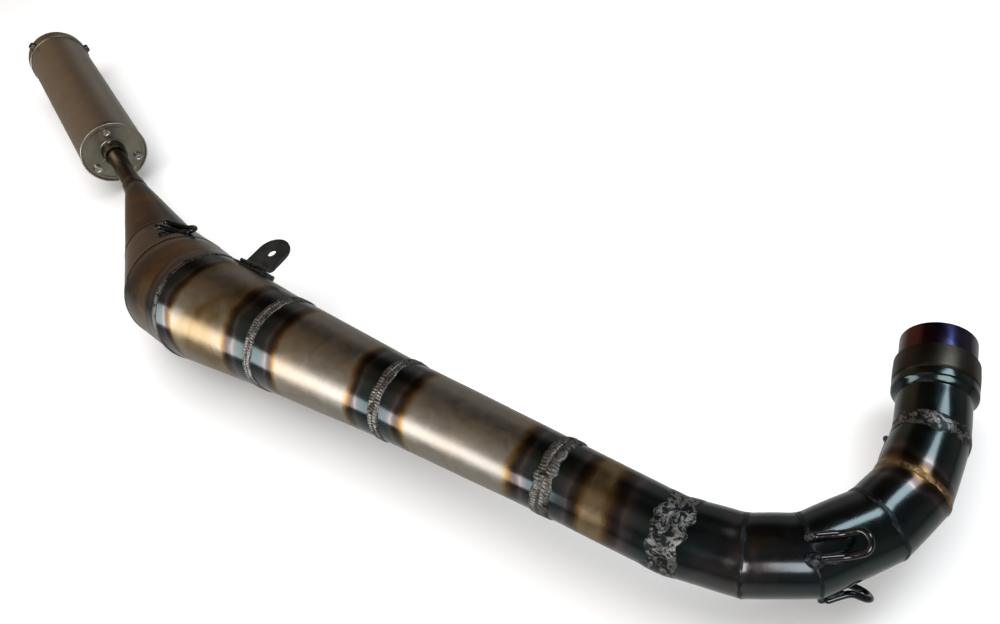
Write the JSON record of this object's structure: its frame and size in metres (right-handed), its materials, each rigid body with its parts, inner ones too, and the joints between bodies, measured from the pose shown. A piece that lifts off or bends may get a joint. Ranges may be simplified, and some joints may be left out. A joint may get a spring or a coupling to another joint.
{
  "type": "racing exhaust system",
  "caption": "Two-stroke racing exhaust: mitred header bend, welded expansion chamber, thin tail pipe and a round silencer.",
  "frame": {"origin": "centre of the inlet sleeve's mouth", "axes": "+Y leaves the mouth towards the engine's port, -X runs along the chamber towards the silencer, +Z is square to the header bend"},
  "size_m": [1.2264, 0.5924, 0.1233],
  "materials": {
    "header_steel": "heat-blued bare steel, blue-black",
    "chamber_steel": "bare rolled steel, tinted straw, brown and blue beside its welds",
    "weld": "rough silver weld metal",
    "sleeve": "steel tinted dark purple by heat",
    "band": "turned steel, grey brown",
    "seal": "soft copper seal",
    "bracket": "blackened steel plate",
    "tail_steel": "dark brown tinted steel tube",
    "cap": "turned aluminium",
    "core": "perforated steel tube",
    "packing": "glass wool",
    "can": "satin aluminium sheet",
    "screws": "bright steel"
  },
  "bodies": {
    "pipe": {"header_neck": "header_steel", "bend_segment_1": "header_steel", "bend_segment_2": "header_steel", "bend_segment_3": "header_steel", "bend_segment_4": "header_steel", "bend_segment_5": "header_steel", "diffuser_cone_1": "chamber_steel", "diffuser_cone_2": "chamber_steel", "diffuser_cone_3": "chamber_steel", "diffuser_cone_4": "chamber_steel", "belly_band": "chamber_steel", "belly_cone": "chamber_steel", "baffle_cone": "chamber_steel", "neck_weld": "weld", "bend_weld_1": "weld", "bend_weld_2": "weld", "bend_weld_3": "weld", "bend_weld_4": "weld", "header_weld": "weld", "diffuser_weld_1": "weld", "diffuser_weld_2": "weld", "diffuser_weld_3": "weld", "belly_weld_1": "weld", "belly_weld_2": "weld", "belly_weld_3": "weld", "tail_weld": "weld", "header_socket": "header_steel", "spring_hook_top": "header_steel", "spring_hook_outer": "header_steel", "spring_hook_inner": "header_steel", "chamber_hook": "header_steel", "hanger_foot": "bracket", "hanger_tab": "bracket", "stinger_collar": "tail_steel", "stinger_tube": "tail_steel"},
    "seal": {"seal_ring": "seal"},
    "sleeve": {"inlet_sleeve": "sleeve", "sleeve_band": "band"},
    "silencer": {"silencer_front_cap": "cap", "core_flange": "tail_steel", "perforated_core": "core", "packing": "packing", "silencer_can": "can", "silencer_rear_cap": "cap", "outlet_tip": "cap", "front_cap_screws": "screws", "rear_cap_screws": "screws"}
  },
  "joints": [
    {"name": "sleeve_turn", "type": "hinge", "parent": "pipe", "child": "seal", "pos_m": [0, -0.0419, 0], "axis": [0, 1, 0], "continuous": true},
    {"name": "sleeve_slide", "type": "slide", "parent": "seal", "child": "sleeve", "axis": [0, 1, 0], "range_m": [0, 0.018]},
    {"name": "silencer_turn", "type": "hinge", "parent": "pipe", "child": "silencer", "pos_m": [-0.91191, 0.15041, -0.00908], "axis": [-0.8058, 0.5919, -0.0175], "continuous": true}
  ]
}
